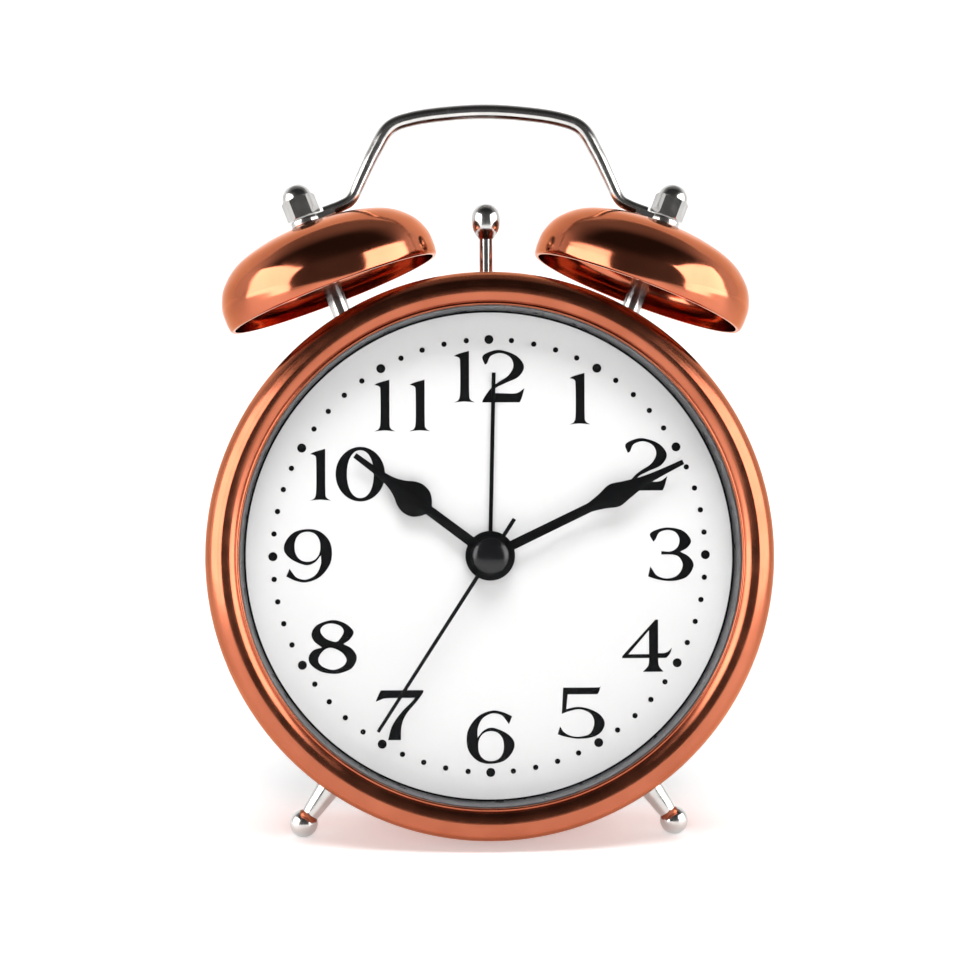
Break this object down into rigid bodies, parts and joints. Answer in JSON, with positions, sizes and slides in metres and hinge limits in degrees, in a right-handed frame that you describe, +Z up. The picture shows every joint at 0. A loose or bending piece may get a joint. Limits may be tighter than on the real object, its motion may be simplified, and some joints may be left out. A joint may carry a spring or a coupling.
{
  "type": "alarm clock",
  "caption": "Twin-bell alarm clock: copper-plated drum case with a numbered dial, two bells with a hammer between them, a wire carrying handle and ball feet.",
  "frame": {"origin": "on the table under the middle of the clock's box", "axes": "+Z up, the dial faces -Y and slightly upwards, +X to the viewer's right"},
  "size_m": [0.115, 0.0586, 0.1507],
  "materials": {
    "copper": "polished copper plating on steel",
    "steel": "polished nickel plating on steel",
    "glass": "clear and flat",
    "dial_white": "white card with printed numerals and minute dots",
    "black_plastic": "moulded satin black",
    "black_paint": "satin black paint",
    "grey_plastic": "moulded dark grey",
    "nylon": "moulded natural nylon",
    "brass": "turned brass",
    "enamel_wire": "enamelled copper winding",
    "board_green": "green lacquered board",
    "battery": "plain dark printed can"
  },
  "bodies": {
    "case": {"back_cover": "black_plastic", "back_cover_screw_1": "steel", "back_cover_screw_2": "steel", "back_cover_screw_3": "steel", "battery": "battery", "battery_plate_contact": "steel", "battery_spring_contact": "steel", "bezel": "copper", "circuit_board": "board_green", "dial_plate": "dial_white", "drum_case": "copper", "hammer_bracket": "steel", "hammer_motor": "steel", "hammer_pivot_pin": "steel", "handle": "steel", "left_acorn_nut": "steel", "left_bell": "copper", "left_bell_post": "steel", "left_bell_stud": "steel", "left_leg": "steel", "left_leg_nut": "steel", "left_stud_nut": "steel", "lens": "glass", "movement_frame": "grey_plastic", "movement_middle_plate": "grey_plastic", "movement_rear_plate": "grey_plastic", "recess_ring": "black_plastic", "right_acorn_nut": "steel", "right_bell": "copper", "right_bell_post": "steel", "right_bell_stud": "steel", "right_leg": "steel", "right_leg_nut": "steel", "right_stud_nut": "steel", "stepper_coil": "enamel_wire", "stepper_stator": "steel"},
    "second_hand_group": {"second_wheel": "nylon", "second_hand": "black_paint", "hand_cap": "black_paint"},
    "third_wheel": {"third_wheel": "nylon"},
    "centre_wheel": {"centre_wheel": "nylon"},
    "stepper_rotor": {"stepper_rotor": "steel"},
    "minute_hand_group": {"minute_arbor": "brass", "minute_hand": "black_paint"},
    "time_set_group": {"intermediate_wheel": "nylon", "time_set_knob": "black_plastic"},
    "hour_hand_group": {"hour_wheel": "nylon", "hour_hand": "black_paint"},
    "alarm_set_group": {"alarm_set_arbor": "steel", "alarm_set_knob": "black_plastic"},
    "alarm_hand_group": {"alarm_wheel": "nylon", "alarm_hand": "black_paint"},
    "hammer": {"hammer": "steel"},
    "cam_wheel": {"cam_wheel": "nylon"},
    "motor_rotor": {"motor_pinion": "brass"},
    "alarm_switch": {"alarm_switch": "black_plastic"},
    "battery_door": {"battery_door": "black_plastic"}
  },
  "joints": [
    {"name": "second_hand_spin", "type": "hinge", "parent": "case", "child": "second_hand_group", "pos_m": [0, -0.00044, 0.05687], "axis": [0, 0.9932, -0.1161], "continuous": true},
    {"name": "third_wheel_spin", "type": "hinge", "parent": "case", "child": "third_wheel", "pos_m": [0, 0.00057, 0.06548], "axis": [0, 0.9932, -0.1161], "continuous": true},
    {"name": "centre_wheel_spin", "type": "hinge", "parent": "case", "child": "centre_wheel", "pos_m": [0, -0.00044, 0.05687], "axis": [0, 0.9932, -0.1161], "continuous": true},
    {"name": "stepper_rotor_spin", "type": "hinge", "parent": "case", "child": "stepper_rotor", "pos_m": [-0.00714, 0.00004, 0.06096], "axis": [0, 0.9932, -0.1161], "continuous": true},
    {"name": "minute_hand_spin", "type": "hinge", "parent": "case", "child": "minute_hand_group", "pos_m": [0, -0.00044, 0.05687], "axis": [0, 0.9932, -0.1161], "continuous": true},
    {"name": "time_set_spin", "type": "hinge", "parent": "case", "child": "time_set_group", "pos_m": [0.01039, -0.00114, 0.05091], "axis": [0, 0.9932, -0.1161], "continuous": true},
    {"name": "hour_hand_spin", "type": "hinge", "parent": "case", "child": "hour_hand_group", "pos_m": [0, -0.00044, 0.05687], "axis": [0, 0.9932, -0.1161], "continuous": true},
    {"name": "alarm_set_spin", "type": "hinge", "parent": "case", "child": "alarm_set_group", "pos_m": [-0.01039, -0.00114, 0.05091], "axis": [0, 0.9932, -0.1161], "continuous": true},
    {"name": "alarm_hand_spin", "type": "hinge", "parent": "case", "child": "alarm_hand_group", "pos_m": [0, -0.00044, 0.05687], "axis": [0, 0.9932, -0.1161], "continuous": true},
    {"name": "hammer_swing", "type": "hinge", "parent": "case", "child": "hammer", "pos_m": [0, 0.00455, 0.09958], "axis": [0, 0.9932, -0.1161], "range_deg": [-18.5, 18.5]},
    {"name": "cam_wheel_spin", "type": "hinge", "parent": "case", "child": "cam_wheel", "pos_m": [0, 0.00345, 0.09014], "axis": [0, 0.9932, -0.1161], "continuous": true},
    {"name": "motor_rotor_spin", "type": "hinge", "parent": "case", "child": "motor_rotor", "pos_m": [0.008, 0.00345, 0.09014], "axis": [0, 0.9932, -0.1161], "continuous": true},
    {"name": "alarm_switch_slide", "type": "slide", "parent": "case", "child": "alarm_switch", "axis": [1, 0, 0], "range_m": [0, 0.004]},
    {"name": "battery_door_slide", "type": "slide", "parent": "case", "child": "battery_door", "axis": [0, 0.9932, -0.1161], "range_m": [0, 0.012]}
  ],
  "couplings": [
    {"joint": "third_wheel_spin", "follows": "second_hand_spin", "ratio": -0.13333},
    {"joint": "centre_wheel_spin", "follows": "second_hand_spin", "ratio": 0.016667},
    {"joint": "stepper_rotor_spin", "follows": "second_hand_spin", "ratio": -10},
    {"joint": "time_set_spin", "follows": "minute_hand_spin", "ratio": -0.33333},
    {"joint": "hour_hand_spin", "follows": "minute_hand_spin", "ratio": 0.083333},
    {"joint": "alarm_hand_spin", "follows": "alarm_set_spin", "ratio": -0.33333},
    {"joint": "motor_rotor_spin", "follows": "cam_wheel_spin", "ratio": -4}
  ]
}
